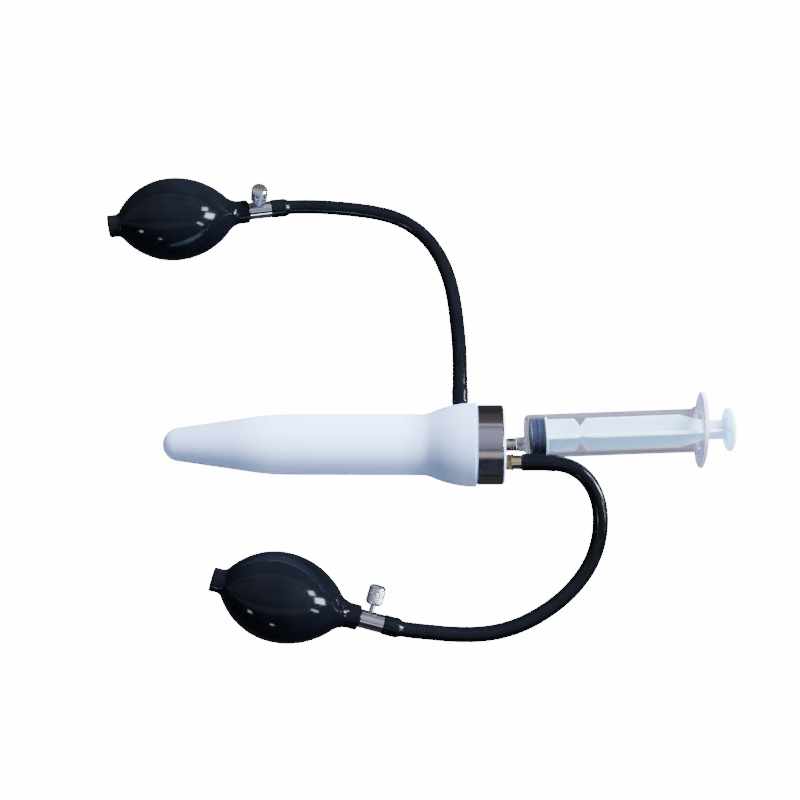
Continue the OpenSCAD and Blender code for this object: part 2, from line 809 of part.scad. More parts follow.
module syringe_barrel() {
    shoulder_r = 2.6;
    collar_r = barrel_r + 1.1;
    side_shift = flange_side_r - flange_side_w / 2;
    color(clear_plastic)
        difference() {
            union() {
                on_barrel() {
                    turned(concat(
                        [[0, shoulder]],
                        arc([barrel_r - shoulder_r, shoulder + shoulder_r], shoulder_r, -90, 0, 6),
                        [[barrel_r, flange_front - 3.5]],
                        [[collar_r, flange_front - 2.5]],
                        [[collar_r, flange_front + 0.5]],
                        [[0, flange_front + 0.5]]
                    ));
                    intersection() {
                        disc(flange_w / 2, flange_front, flange_rear);
                        translate([0, 0, side_shift])
                            disc(flange_side_r, flange_front - 1, flange_rear + 1);
                        translate([0, 0, -side_shift])
                            disc(flange_side_r, flange_front - 1, flange_rear + 1);
                    }
                }
                on_syringe()
                    turned([
                        [0, nozzle_front - luer_len],
                        [luer_d / 2 - luer_slope * luer_len, nozzle_front - luer_len],
                        [luer_d / 2, nozzle_front],
                        [nozzle_base_d / 2 - 0.4, nozzle_front],
                        [nozzle_base_d / 2, nozzle_front + 0.4],
                        [nozzle_base_d / 2, shoulder - 1],
                        [nozzle_base_d / 2 + 1, shoulder + 0.5],
                        [0, shoulder + 0.5]
                    ]);
            }
            on_barrel()
                disc(barrel_bore_r, barrel_inside, flange_rear + 1);
            on_syringe()
                disc(nozzle_bore / 2, nozzle_front - luer_len - 1, barrel_inside + 1);
        }
}

module plunger_seal() {
    rib = 1.6;
    land = (seal_len - 3 * rib) / 2;
    groove_r = seal_r - 0.7;
    hollow_front = seal_front + 2.5;
    color(seal_slate)
        on_barrel()
            turned(concat(
                [[0, seal_front]],
                [[seal_r - 1.5, seal_front]],
                [for (i = [0:2]) let (at = seal_front + i * (rib + land)) each [
                    [i == 0 ? seal_r - 0.4 : groove_r, at + (i == 0 ? 0.3 : 0)],
                    [seal_r, at + 0.4],
                    [seal_r, at + rib - 0.4],
                    [i == 2 ? seal_r - 0.4 : groove_r, at + rib]
                ]],
                [[4 + snug, seal_rear]],
                [[4 + snug, seal_rear - 2]],
                [[5.5 + snug, seal_rear - 3]],
                [[5.5 + snug, hollow_front]],
                [[0, hollow_front]]
            ));
}

module rib_outline() {
    half = rib_w / 2;
    waist = waist_w / 2;
    notch_at = rod_front + 18.8;
    notch_half = 3.6;
    shoulder_end = flange_front - 11;
    waist_start = flange_front + 2;
    side = [
        [rod_front - 0.1, half],
        [notch_at - notch_half, half],
        [notch_at - notch_half * 0.7, half - notch_depth * 0.15],
        [notch_at, half - notch_depth],
        [notch_at + notch_half, half],
        [shoulder_end, half],
        [waist_start, waist],
        [thumb_front - 3, waist],
        [thumb_front - 1, waist + 0.6],
        [thumb_front + 0.1, waist + 2.2]
    ];
    polygon(concat(side, [for (i = [len(side) - 1:-1:0]) [side[i].x, -side[i].y]]));
}

module plunger_rod() {
    head_front = seal_front + 3;
    edge = 0.5;
    color(rod_white)
        on_barrel() {
            turned([
                [0, head_front],
                [4, head_front],
                [5.5, head_front + 1.5],
                [5.5, seal_rear - 3 - snug],
                [4, seal_rear - 2 - snug],
                [4, seal_rear + snug],
                [barrel_bore_r - 0.5, seal_rear + snug],
                [barrel_bore_r - 0.5, rod_front],
                [0, rod_front]
            ]);
            for (turn = [-16, 74])
                rotate([turn, 0, 0])
                    translate([0, 0, -rib_t / 2])
                        linear_extrude(height = rib_t)
                            rib_outline();
            turned([
                [0, thumb_front],
                [thumb_d / 2 - edge, thumb_front],
                [thumb_d / 2, thumb_front + edge],
                [thumb_d / 2, thumb_rear - edge],
                [thumb_d / 2 - edge, thumb_rear],
                [0, thumb_rear]
            ]);
        }
}

// Crossed slots round the end of a ball's cage, so that the open ball doesn't close it
module bypass(at) {
    for (turn = [0, 90])
        rotate([turn, 0, 0])
            translate([at - 0.1, -cage_r, -slot_w / 2])
                cube([0.9, cage_d, slot_w]);
}

module bulb(place) {
    lip = 0.8;
    inner_r = bulb_r - bulb_wall;
    inside = concat(
        other_way(bulb_half(inner_r, back_curve_r - bulb_wall, inner_fillet_r, spigot_bore_r)),
        bulb_half(inner_r, front_curve_r - bulb_wall, inner_fillet_r, spigot_bore_r)
    );
    color(black_rubber)
        on_bulb(place)
            turned(concat(
                [[spigot_bore_r, -tail_reach]],
                [[tail_r - lip, -tail_reach]],
                [[tail_r, -tail_reach + lip]],
                other_way(bulb_half(bulb_r, back_curve_r, tail_fillet_r, tail_r)),
                bulb_half(bulb_r, front_curve_r, neck_fillet_r, neck_r),
                [[neck_r, neck_reach - lip / 2]],
                [[neck_r - lip / 2, neck_reach]],
                [[spigot_bore_r, neck_reach]],
                backwards(inside)
            ));
}

module intake_valve(place) {
    seat = intake_face + seat_t;
    end = intake_face + spigot_len;
    edge = 0.4;
    color(steel)
        on_bulb(place)
            difference() {
                turned([
                    [seat_d / 2, intake_face],
                    [spigot_r - edge, intake_face],
                    [spigot_r, intake_face + edge],
                    [spigot_r, end],
                    [seat_d / 2, end],
                    [seat_d / 2, seat + cage_len],
                    [cage_r, seat + cage_len],
                    [cage_r, seat],
                    [seat_d / 2, seat]
                ]);
                bypass(seat + cage_len);
            }
}

module intake_ball(place) {
    color(chrome)
        on_bulb(place)
            translate([intake_face + seat_t + ball_open, 0, 0])
                sphere(r = ball_r);
}

module valve_body(place) {
    edge = 0.5;
    color(chrome)
        difference() {
            on_valve(place) {
                difference() {
                    turned([
                        [0, -spigot_len],
                        [spigot_r, -spigot_len],
                        [spigot_r, snug],
                        [valve_r - edge, snug],
                        [valve_r, edge],
                        [valve_r, valve_len - edge],
                        [valve_r - edge, valve_len],
                        [0, valve_len]
                    ]);
                    disc(cage_r, -spigot_len - 1, valve_inlet + cage_len);
                    disc(seat_d / 2, valve_inlet, valve_inlet + cage_len + 1);
                    disc(valve_bore / 2, valve_inlet, valve_len + 1);
                    bypass(valve_inlet + cage_len);
                }
                barbs(valve_len, nipple_len, valve_bore);
            }
            on_screw(place) {
                cylinder(d = vent_d, h = screw_seat + 0.1);
                translate([0, 0, screw_seat])
                    cylinder(r1 = vent_d / 2, r2 = screw_d / 2 + running, h = point_len);
                translate([0, 0, screw_seat + point_len])
                    cylinder(r = screw_d / 2 + running, h = valve_d);
            }
        }
}

module valve_seat(place) {
    color(brass)
        on_valve(place)
            turned([
                [seat_d / 2, -spigot_len],
                [cage_r - snug, -spigot_len],
                [cage_r - snug, valve_inlet],
                [seat_d / 2, valve_inlet]
            ]);
}

module check_ball(place) {
    color(chrome)
        on_valve(place)
            translate([valve_inlet + ball_open, 0, 0])
                sphere(r = ball_r);
}

module release_screw(place) {
    color(steel)
        on_screw(place)
            union() {
                translate([0, 0, screw_seat])
                    cylinder(r1 = vent_d / 2 - running, r2 = screw_d / 2, h = point_len);
                translate([0, 0, screw_seat + point_len])
                    cylinder(d = screw_d, h = knob_base + knob_h - 3 - screw_seat - point_len);
            }
}

module knob(place) {
    grip_r = knob_d / 2;
    foot = 1.2;
    crown = 1.6;
    core = grip_r - flute_depth - 0.2;
    color(chrome)
        on_screw(place)
            translate([0, 0, knob_base])
                difference() {
                    union() {
                        translate([0, 0, foot])
                            linear_extrude(height = knob_h - foot - crown)
                                polygon([for (i = [0:2 * flutes - 1])
                                    (grip_r - (i % 2) * flute_depth)
                                        * [cos(i * 180 / flutes), sin(i * 180 / flutes)]]);
                        rotate_extrude()
                            polygon([
                                [0, 0],
                                [core - 1.2, 0],
                                [core, foot + 0.3],
                                [core, knob_h - crown + 0.3],
                                [core - 0.5, knob_h - 0.6],
                                [core - 1.4, knob_h],
                                [0, knob_h]
                            ]);
                    }
                    translate([0, 0, -1])
                        cylinder(r = screw_d / 2 + running, h = knob_h - 3 + 1 + 0.1);
                }
}

// A hollow tube swept along a route. Each end has its own direction, and each ring its own radius.
module hose(route, radii, bores, start_way, end_way) {
    last = len(route) - 1;
    ways = [for (i = [0:last]) i == 0 ? start_way : i == last ? end_way
        : unit(unit(route[i] - route[i - 1]) + unit(route[i + 1] - route[i]))];
    sides = [for (way = ways) unit(cross(way, [0, 0, 1]))];
    function ring(i, r) = [for (k = [0:hose_sides - 1])
        route[i] + r * (cos(k * 360 / hose_sides) * sides[i]
            + sin(k * 360 / hose_sides) * cross(sides[i], ways[i]))];
    outer = [for (i = [0:last]) each ring(i, radii[i])];
    inner = [for (i = [0:last]) each ring(i, bores[i])];
    skip = len(outer);
    function step(i, k) = i * hose_sides + k % hose_sides;
    walls = [for (i = [0:last - 1], k = [0:hose_sides - 1]) each [
        [step(i, k), step(i + 1, k), step(i + 1, k + 1)],
        [step(i, k), step(i + 1, k + 1), step(i, k + 1)],
        [skip + step(i, k), skip + step(i + 1, k + 1), skip + step(i + 1, k)],
        [skip + step(i, k), skip + step(i, k + 1), skip + step(i + 1, k + 1)]
    ]];
    ends = [for (k = [0:hose_sides - 1]) each [
        [step(0, k), step(0, k + 1), skip + step(0, k + 1)],
        [step(0, k), skip + step(0, k + 1), skip + step(0, k)],
        [step(last, k), skip + step(last, k + 1), step(last, k + 1)],
        [step(last, k), skip + step(last, k), skip + step(last, k + 1)]
    ]];
    color(black_rubber)
        polyhedron(points = concat(outer, inner), faces = concat(walls, ends));
}

// Three points of a straight hose end: at the fitting, where the stretch ends, where it has narrowed
function hose_end(from, way, cuff) =
    [for (d = [snug, cuff, cuff + cuff_taper]) from + d * way];

module free_hose(from, from_way, from_cuff, from_d, route, place) {
    way = bulb_axis(place);
    start = hose_end(from, from_way, from_cuff);
    finish = backwards(hose_end(bulb_point(place, neck_reach + valve_len), way, valve_cuff_len));
    stretched = barb_d / 2 / cos(180 / hose_sides) + snug;
    free = [for (p = route) hose_r];
    free_bore = [for (p = route) hose_bore / 2];
    hose(
        concat(start, route, finish),
        concat([from_d / 2, from_d / 2, hose_r], free, [hose_r, valve_cuff_d / 2, valve_cuff_d / 2]),
        concat([stretched, stretched, hose_bore / 2], free_bore,
            [hose_bore / 2, stretched, stretched]),
        from_way,
        -way
    );
}

module top_hose() {
    free_hose(probe_point([side_fit_at, flare_r + side_proud, 0]), [0, 1, 0],
        side_cuff_len, fit_cuff_d, top_route, top_place);
}

module bottom_hose() {
    shank_rear = plug_rear + washer_t + snug + hex_t + fit_collar_t + shank_len;
    free_hose(probe_point([shank_rear, -rear_fit_y, rear_fit_z]), [cos(tilt), 0, sin(tilt)],
        rear_cuff_len, fit_cuff_d, bottom_route, bottom_place);
}

sheath();
core_tube();
chamber_divider();
delivery_tube();
tip_outlet();
head_plug();
clamp_ring();
socket_grommet();
socket_bush();
rear_fitting();
rear_washer();
side_fitting();
side_washer();
syringe_barrel();
plunger_seal();
plunger_rod();
top_hose();
bulb(top_place);  // top_bulb
intake_valve(top_place);  // top_intake_valve
intake_ball(top_place);  // top_intake_ball
valve_body(top_place);  // top_valve_body
valve_seat(top_place);  // top_valve_seat
check_ball(top_place);  // top_check_ball
release_screw(top_place);  // top_release_screw
knob(top_place);  // top_knob
bottom_hose();
bulb(bottom_place);  // bottom_bulb
intake_valve(bottom_place);  // bottom_intake_valve
intake_ball(bottom_place);  // bottom_intake_ball
valve_body(bottom_place);  // bottom_valve_body
valve_seat(bottom_place);  // bottom_valve_seat
check_ball(bottom_place);  // bottom_check_ball
release_screw(bottom_place);  // bottom_release_screw
knob(bottom_place);  // bottom_knob
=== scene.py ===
import json
from math import acos, asin, atan, cos, hypot, pi, radians, sin, sqrt, tan

import bpy
from mathutils import Matrix, Vector


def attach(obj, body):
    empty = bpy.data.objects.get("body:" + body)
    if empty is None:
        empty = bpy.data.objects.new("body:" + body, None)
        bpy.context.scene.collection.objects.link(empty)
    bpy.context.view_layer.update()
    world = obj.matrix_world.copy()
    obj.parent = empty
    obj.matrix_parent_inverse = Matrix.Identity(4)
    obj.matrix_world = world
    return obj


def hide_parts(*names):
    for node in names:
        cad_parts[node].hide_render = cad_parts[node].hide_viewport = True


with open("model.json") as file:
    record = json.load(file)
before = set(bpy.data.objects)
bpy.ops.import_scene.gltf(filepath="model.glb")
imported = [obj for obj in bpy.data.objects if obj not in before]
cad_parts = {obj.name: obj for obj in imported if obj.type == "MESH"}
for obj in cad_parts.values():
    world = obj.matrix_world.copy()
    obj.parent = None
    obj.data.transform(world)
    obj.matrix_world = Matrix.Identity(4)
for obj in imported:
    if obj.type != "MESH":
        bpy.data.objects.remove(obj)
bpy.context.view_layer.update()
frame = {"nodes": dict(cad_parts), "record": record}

MM = 0.001
BUMP_DEPTH = 0.0002  # metres

# ---------------------------------------------------------------- camera

# Fitted to the round parts' outlines in the photograph; its place is in metres
camera_data = bpy.data.cameras.new("camera")
camera_data.lens = 45
camera_data.sensor_width = 36
camera = bpy.data.objects.new("camera", camera_data)
bpy.context.scene.collection.objects.link(camera)
camera.location = (-0.0036, -0.140, 0.590)
camera.rotation_euler = (radians(14), 0, radians(0.74))
bpy.context.scene.camera = camera

# ---------------------------------------------------------------- sizes, in mm, as in the CAD model

SHEATH_LEN = 183.5
BODY_R = 17.7
WALL = 3.0
NOSE_R = 10.0
TAPER = radians(8)
BLEND_R = 150.0
FLARE_R = 24.2
FLARE_LEN = 32.0
FOOT_R = 16.0
LIP_R = 1.2
PLUG_R = 19.0
SKIRT_T = 1.9
SKIRT_LEN = 12.0
SNUG = 0.05
HOLE_R = 3.55
CORE_FRONT = 14.0
INSIDE_FRONT_R = 9.0
PLUG_REACH = 27.5
PLUG_NOSE_LEN = 10.0
RING_LEN = 15.0
RIM_T = 0.8
PLUG_REAR = SHEATH_LEN + RING_LEN + RIM_T
SYRINGE_LEAN = radians(2.2)
FLANGE_ROLL = radians(36)
NOZZLE_OFFSET = 4.7

BULB_R = 24.8
FRONT_CURVE_R = 44.5
BACK_CURVE_R = 38.5
NECK_FILLET_R = 11.0
TAIL_FILLET_R = 4.0
INNER_FILLET_R = 4.0
BULB_WALL = 2.6
NECK_R = 7.1
TAIL_R = 6.6
NECK_REACH = 45.6
TAIL_REACH = 39.2
BULB_DIP = radians(14)
SPIGOT_R = 4.2
VALVE_LEN = 14.5
SCREW_AT = 6.2
SCREW_D = 3.2
RUNNING = 0.06
VALVE_R = 5.2
KNOB_BASE = VALVE_R + 3.8
KNOB_D = 10.2
KNOB_H = 11.4
KNURLS = 22
KNOB_SOCKET = 2.9

BARREL_FRONT = 12.0
BARREL_LEN = 98.7
FLANGE_FRONT = BARREL_FRONT + BARREL_LEN

HOSE_D = 8.8
HOSE_BORE = 4.4
BARB_R = 2.75
FIT_CUFF_R = 4.9
VALVE_CUFF_R = 5.7
VALVE_CUFF_LEN = 8.0
CUFF_TAPER = 3.0
CUFF_ROUNDING = 0.7
SUNK_R = 3.6
HOSE_STEP = 0.9
SMOOTHING_PASSES = 40
SIDE_CUFF_LEN = 7.0
REAR_CUFF_LEN = 12.0
REAR_SLEEVE_LEN = 17.0
SIDE_FIT_AT = SHEATH_LEN - 9.5
SIDE_PROUD = 0.2
REAR_FIT = (12.0, 9.9)
REAR_SHANK = 9.05

TAPER_START = NOSE_R * (1 - sin(TAPER))
TAPER_START_R = NOSE_R * cos(TAPER)
BLEND_END = TAPER_START + (BODY_R - TAPER_START_R) / tan(TAPER) + BLEND_R * tan(TAPER / 2)
FLARE_START = SHEATH_LEN - FLARE_LEN
FLARE_END = SHEATH_LEN - LIP_R
SLOPE = 2 * atan((FLARE_R - BODY_R) / (FLARE_END - FLARE_START))
CROWN_R = (FLARE_END - FLARE_START) / sin(SLOPE) - FOOT_R

REST_RUN = FLARE_END - BLEND_END
REST_RISE = FLARE_R - LIP_R - BODY_R + BLEND_R
TILT = atan(REST_RISE / REST_RUN) - asin((BLEND_R - LIP_R) / hypot(REST_RUN, REST_RISE))
TIP_H = LIP_R + (FLARE_R - LIP_R) * cos(TILT) - FLARE_END * sin(TILT)
BULB_H = FRONT_CURVE_R - (FRONT_CURVE_R - BULB_R) * cos(BULB_DIP)


def shift(x, y=0.0, z=0.0):
    return Matrix.Translation((x, y, z))


def turn(angle, axis):
    return Matrix.Rotation(angle, 4, axis)


ON_PROBE = shift(-144.1, -25, TIP_H) @ turn(-TILT, "Y")
ON_SYRINGE = ON_PROBE @ shift(PLUG_REAR) @ turn(SYRINGE_LEAN, "Z")
ON_BARREL = ON_SYRINGE @ turn(FLANGE_ROLL, "X") @ shift(0, NOZZLE_OFFSET)
ON_BULB = {
    "top": shift(-144.4, 112.3, BULB_H) @ turn(radians(14.3), "Z") @ turn(BULB_DIP, "Y"),
    "bottom": shift(-70.3, -112.7, BULB_H) @ turn(radians(-13.5), "Z") @ turn(BULB_DIP, "Y"),
}
KNOB_TILT = {"top": radians(76), "bottom": radians(8)}
ON_SCREW = {
    side: ON_BULB[side] @ shift(NECK_REACH + SCREW_AT) @ turn(KNOB_TILT[side] - pi / 2, "X")
    for side in ON_BULB
}


# ---------------------------------------------------------------- materials

def material(name, base, rough, metal=0.0, **more):
    """A Principled material whose colour and roughness drift a little over the surface."""
    mat = bpy.data.materials.new(name)
    mat.use_nodes = True
    tree = mat.node_tree
    shader = tree.nodes["Principled BSDF"]
    drift = more.get("drift", 0.12)
    scale = more.get("scale", 60.0)
    where = tree.nodes.new("ShaderNodeTexCoord").outputs["Object"]
    noise = tree.nodes.new("ShaderNodeTexNoise")
    noise.inputs["Scale"].default_value = scale
    noise.inputs["Detail"].default_value = 6
    noise.inputs["Roughness"].default_value = 0.6
    tree.links.new(where, noise.inputs["Vector"])
    ramp = tree.nodes.new("ShaderNodeValToRGB")
    second = tuple(min(1.0, c * (1 + drift)) for c in base)
    first = tuple(c * (1 - drift) for c in base)
    ramp.color_ramp.elements[0].color = (*first, 1)
    ramp.color_ramp.elements[0].position = 0.35
    ramp.color_ramp.elements[1].color = (*second, 1)
    ramp.color_ramp.elements[1].position = 0.68
    tree.links.new(noise.outputs["Fac"], ramp.inputs["Fac"])
    tree.links.new(ramp.outputs["Color"], shader.inputs["Base Color"])
    shader.inputs["Metallic"].default_value = metal

    fine = tree.nodes.new("ShaderNodeTexNoise")
    fine.inputs["Scale"].default_value = more.get("fine", 900.0)
    fine.inputs["Detail"].default_value = 4
    stretch = more.get("stretch")
    if stretch:
        squash = tree.nodes.new("ShaderNodeMapping")
        squash.inputs["Rotation"].default_value = more.get("along", (0, 0, 0))
        squash.inputs["Scale"].default_value = stretch
        tree.links.new(where, squash.inputs["Vector"])
        tree.links.new(squash.outputs["Vector"], fine.inputs["Vector"])
    else:
        tree.links.new(where, fine.inputs["Vector"])
    gloss = tree.nodes.new("ShaderNodeMapRange")
    spread = more.get("spread", 0.06)
    gloss.inputs["From Min"].default_value = 0.3
    gloss.inputs["From Max"].default_value = 0.7
    gloss.inputs["To Min"].default_value = max(0.0, rough - spread)
    gloss.inputs["To Max"].default_value = rough + spread
    tree.links.new(fine.outputs["Fac"], gloss.inputs["Value"])
    tree.links.new(gloss.outputs["Result"], shader.inputs["Roughness"])

    bump = tree.nodes.new("ShaderNodeBump")
    bump.inputs["Strength"].default_value = more.get("bump", 0.08)
    bump.inputs["Distance"].default_value = BUMP_DEPTH
    tree.links.new(fine.outputs["Fac"], bump.inputs["Height"])
    tree.links.new(bump.outputs["Normal"], shader.inputs["Normal"])
    for socket, value in more.get("sockets", {}).items():
        shader.inputs[socket].default_value = value
    return mat


def station(tree, place, at):
    """How far a point lies along a place's X axis, past the station at, in metres."""
    offset = tree.nodes.new("ShaderNodeVectorMath")
    offset.operation = "SUBTRACT"
    tree.links.new(tree.nodes.new("ShaderNodeTexCoord").outputs["Object"], offset.inputs[0])
    offset.inputs[1].default_value = (place @ Vector((at, 0, 0))) * MM
    along = tree.nodes.new("ShaderNodeVectorMath")
    along.operation = "DOT_PRODUCT"
    tree.links.new(offset.outputs[0], along.inputs[0])
    along.inputs[1].default_value = (place.to_3x3() @ Vector((1, 0, 0))).normalized()
    return along.outputs["Value"]


def remap(tree, value, low, high, start, end):
    """Maps the range low to high of a value onto start to end."""
    step = tree.nodes.new("ShaderNodeMapRange")
    step.inputs["From Min"].default_value = low
    step.inputs["From Max"].default_value = high
    step.inputs["To Min"].default_value = start
    step.inputs["To Max"].default_value = end
    tree.links.new(value, step.inputs["Value"])
    return step.outputs["Result"]


def join(tree, kind, a, b):
    """A maths node of the given kind on two values."""
    node = tree.nodes.new("ShaderNodeMath")
    node.operation = kind
    tree.links.new(a, node.inputs[0])
    tree.links.new(b, node.inputs[1])
    return node.outputs[0]


def clear_plastic():
    """Thin clear plastic, greyer towards its edges and frosted at the flange and nozzle."""
    mat = material("clear_plastic", (0.17, 0.155, 0.18), 0.22, drift=0.03, fine=500, spread=0.05,
        bump=0.02)
    tree = mat.node_tree
    plastic = tree.nodes["Principled BSDF"]
    edge = tree.nodes.new("ShaderNodeLayerWeight")
    edge.inputs["Blend"].default_value = 0.5
    rim = remap(tree, edge.outputs["Facing"], 0.4, 1.0, 0.03, 0.5)
    frost = remap(tree, station(tree, ON_BARREL, FLANGE_FRONT), -0.002, 0.0, 0.0, 0.78)
    nozzle = remap(tree, station(tree, ON_BARREL, BARREL_FRONT), 0.0012, -0.001, 0.0, 0.55)
    tint = tree.nodes.new("ShaderNodeMix")
    tint.data_type = "RGBA"
    tree.links.new(frost, tint.inputs["Factor"])
    tree.links.new(plastic.inputs["Base Color"].links[0].from_socket, tint.inputs["A"])
    tint.inputs["B"].default_value = (0.92, 0.84, 1.0, 1)
    tree.links.new(tint.outputs["Result"], plastic.inputs["Base Color"])
    clear = tree.nodes.new("ShaderNodeBsdfTransparent")
    clear.inputs["Color"].default_value = (0.97, 0.965, 0.985, 1)
    mix = tree.nodes.new("ShaderNodeMixShader")
    tree.links.new(join(tree, "MAXIMUM", join(tree, "MAXIMUM", rim, frost), nozzle), mix.inputs[0])
    tree.links.new(clear.outputs[0], mix.inputs[1])
    tree.links.new(plastic.outputs[0], mix.inputs[2])
    tree.links.new(mix.outputs[0], tree.nodes["Material Output"].inputs["Surface"])
    return mat


def silicone():
    """White silicone with painted shade along its length: whitest along the body and greyer at the
    front, neck and bell.
    """
    mat = material("white_silicone", (0.57, 0.67, 0.96), 0.42, drift=0.02, scale=30, fine=400,
        bump=0.03, sockets={"Subsurface Weight": 0.25, "Subsurface Radius": (0.003, 0.0035, 0.004),
            "Subsurface Scale": 1.0, "Specular IOR Level": 0.35})
    tree = mat.node_tree
    shader = tree.nodes["Principled BSDF"]
    # Painted shade: a grey ramp along the sheath darkens the front, the neck and the bell.
    painted_shade = tree.nodes.new("ShaderNodeValToRGB")
    places = [
        (0.0, 0.62), (0.24, 0.64), (0.36, 1.0), (0.76, 1.0), (0.83, 0.62), (0.885, 0.47),
        (0.92, 0.54), (0.955, 0.65), (1.0, 0.61),
    ]
    while len(painted_shade.color_ramp.elements) < len(places):
        painted_shade.color_ramp.elements.new(0.5)
    for element, (at, grey) in zip(painted_shade.color_ramp.elements, places):
        element.position = at
        element.color = (grey, grey, grey, 1)
    along = remap(tree, station(tree, ON_PROBE, 0), 0.0, SHEATH_LEN * MM, 0.0, 1.0)
    tree.links.new(along, painted_shade.inputs["Fac"])
    blend = tree.nodes.new("ShaderNodeMix")
    blend.data_type = "RGBA"
    blend.blend_type = "MULTIPLY"
    blend.inputs["Factor"].default_value = 1.0
    tree.links.new(shader.inputs["Base Color"].links[0].from_socket, blend.inputs["A"])
    tree.links.new(painted_shade.outputs["Color"], blend.inputs["B"])
    tree.links.new(blend.outputs["Result"], shader.inputs["Base Color"])
    return mat


PROBE_AXIS = (0, TILT, 0)
SILICONE = silicone()
PLUG_WHITE = material("plug_white", (0.80, 0.83, 0.90), 0.45, drift=0.03, bump=0.04)
RUBBER = material("black_rubber", (0.0022, 0.0024, 0.0034), 0.11, drift=0.3, scale=40, fine=300,
    spread=0.015, bump=0.008, sockets={"Specular IOR Level": 0.13})
HOSE_RUBBER = material("hose_rubber", (0.0018, 0.002, 0.0027), 0.2, drift=0.3, scale=60, fine=300,
    spread=0.01, bump=0.002, sockets={"Specular IOR Level": 0.22})
GREY_RUBBER = material("grey_rubber", (0.09, 0.1, 0.11), 0.5, drift=0.15)
SEAL_RUBBER = material("seal_rubber", (0.006, 0.011, 0.022), 0.3, drift=0.15, scale=200, bump=0.02)
STEEL = material("polished_steel", (0.56, 0.55, 0.58), 0.16, 1.0, drift=0.06, fine=1500,
    stretch=(4, 1, 1), along=PROBE_AXIS, spread=0.06, bump=0.04)
TURNED = material("turned_steel", (0.60, 0.58, 0.57), 0.22, 1.0, drift=0.1, scale=200, fine=1800,
    bump=0.03)
CHROME = material("valve_chrome", (0.76, 0.76, 0.80), 0.05, 1.0, drift=0.06, scale=250, fine=1500,
    spread=0.02, bump=0.01)
KNURLED = material("knurled_chrome", (0.84, 0.84, 0.88), 0.28, 1.0, drift=0.06, scale=250,
    fine=1500, bump=0.04)
DARK_METAL = material("dark_metal", (0.06, 0.06, 0.07), 0.4, 0.6, drift=0.1, bump=0.03)
BRASS = material("brass", (1.0, 0.83, 0.50), 0.14, 1.0, drift=0.18, scale=160, fine=1500,
    bump=0.03)
NYLON = material("nylon", (0.72, 0.74, 0.70), 0.5, drift=0.04)
CLEAR = clear_plastic()
ROD_WHITE = material("rod_white", (0.54, 0.74, 0.99), 0.35, drift=0.02, scale=80, fine=500,
    bump=0.02, sockets={"Subsurface Weight": 1.0, "Subsurface Radius": (0.006, 0.007, 0.008),
        "Subsurface Scale": 1.0})

FINISH = {
    "silicone_white": SILICONE,
    "plug_white": PLUG_WHITE,
    "nylon": NYLON,
    "grey_rubber": GREY_RUBBER,
    "polished_steel": STEEL,
    "turned_steel": TURNED,
    "brass": BRASS,
    "clear_plastic": CLEAR,
    "seal_rubber": SEAL_RUBBER,
    "rod_white": ROD_WHITE,
    "hose_rubber": HOSE_RUBBER,
    "bulb_rubber": RUBBER,
    "valve_chrome": CHROME,
}
for part in frame["record"]["subparts"]:
    node = frame["nodes"][part["node"]]
    for slot in node.material_slots:
        slot.material = FINISH[part["material_slot"]]
        if part["node"].endswith("intake_valve"):
            slot.material = DARK_METAL


# ---------------------------------------------------------------- pieces

def add(name, points, faces, mat, body, node=None, sharp=35):
    """A piece made of points in mm that rides on a body and may replace a node."""
    mesh = bpy.data.meshes.new(name)
    mesh.from_pydata([Vector(p) * MM for p in points], [], faces)
    mesh.validate()
    mesh.materials.append(mat)
    mesh.polygons.foreach_set("use_smooth", [True] * len(mesh.polygons))
    mesh.set_sharp_from_angle(angle=radians(sharp))
    piece = bpy.data.objects.new(name, mesh)
    bpy.context.scene.collection.objects.link(piece)
    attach(piece, body)
    if node:
        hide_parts(node)
    return piece


def lathe(profile, place, steps=128, warp=None):
    """Points and faces of a closed profile of (radius, station), turned about the X axis."""
    points = []
    faces = []
    rings = []
    for r, s in profile:
        if r < 1e-6:
            rings.append([len(points)])
            points.append(place @ Vector((s, 0, 0)))
            continue
        ring = []
        for k in range(steps):
            a = 2 * pi * k / steps
            local = Vector((s, r * cos(a), r * sin(a)))
            if warp:
                local = warp(local, a)
            ring.append(len(points))
            points.append(place @ local)
        rings.append(ring)
    count = len(rings)
    for i in range(count):
        here = rings[i]
        there = rings[(i + 1) % count]
        if len(here) == 1 and len(there) == 1:
            continue
        for k in range(steps):
            n = (k + 1) % steps
            if len(here) == 1:
                faces.append((here[0], there[n], there[k]))
            elif len(there) == 1:
                faces.append((here[k], here[n], there[0]))
            else:
                faces.append((here[k], here[n], there[n], there[k]))
    return points, faces


def arc(centre, r, a, b, steps):
    """Points of an arc from angle a to angle b, as (radius, station)."""
    return [
        (centre[0] + r * cos(a + (b - a) * i / steps), centre[1] + r * sin(a + (b - a) * i / steps))
        for i in range(steps + 1)
    ]


def mirror_arc(centre, r, a, b, steps):
    """The same arc, mirrored across the station of its centre."""
    return [(x, 2 * centre[1] - y) for x, y in arc(centre, r, a, b, steps)]


# ---------------------------------------------------------------- hoses

